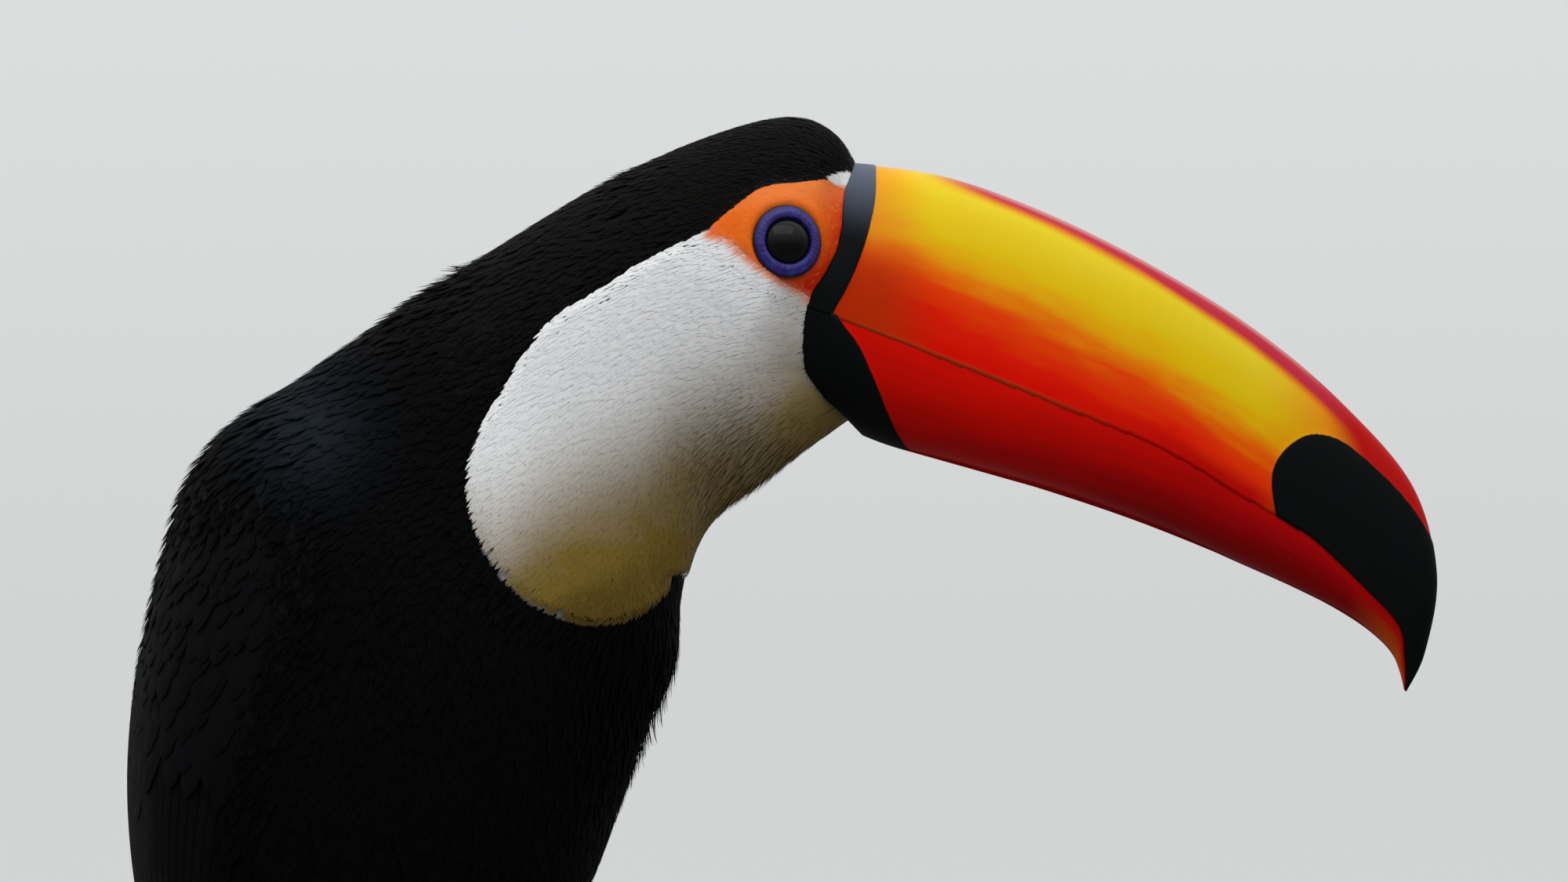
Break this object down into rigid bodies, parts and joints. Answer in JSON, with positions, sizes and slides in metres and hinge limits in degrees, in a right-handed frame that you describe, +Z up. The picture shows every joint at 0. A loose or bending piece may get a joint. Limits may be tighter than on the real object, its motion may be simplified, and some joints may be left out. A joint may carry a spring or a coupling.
{
  "type": "toco toucan",
  "caption": "Life-size toco toucan standing on the floor, head drawn low, black plumage, white throat, large orange bill with a black tip.",
  "frame": {"origin": "on the floor, under the middle of the bird's outline seen from above", "axes": "+X towards the bill, +Y to the bird's left, +Z up"},
  "size_m": [0.4642, 0.1134, 0.3328],
  "materials": {
    "plumage": "matte",
    "bib": "matte",
    "upper_bill": "satin",
    "lower_bill": "satin",
    "eyeball": "gloss",
    "eye_skin": "satin",
    "leg_skin": "satin",
    "claw": "satin"
  },
  "bodies": {
    "root": {"head": "plumage", "trunk": "plumage", "wing_right": "plumage", "wing_left": "plumage", "tail": "plumage", "thigh_right": "plumage", "thigh_left": "plumage", "neck": "bib", "bill_upper": "upper_bill", "bill_lower": "lower_bill", "eye_right": "eyeball", "eye_ring_right": "eye_skin", "shank_right": "leg_skin", "toe_outer_front_right": "leg_skin", "claw_outer_front_right": "claw", "toe_inner_front_right": "leg_skin", "claw_inner_front_right": "claw", "toe_outer_back_right": "leg_skin", "claw_outer_back_right": "claw", "toe_inner_back_right": "leg_skin", "claw_inner_back_right": "claw", "eye_left": "eyeball", "eye_ring_left": "eye_skin", "shank_left": "leg_skin", "toe_outer_front_left": "leg_skin", "claw_outer_front_left": "claw", "toe_inner_front_left": "leg_skin", "claw_inner_front_left": "claw", "toe_outer_back_left": "leg_skin", "claw_outer_back_left": "claw", "toe_inner_back_left": "leg_skin", "claw_inner_back_left": "claw"}
  },
  "joints": []
}
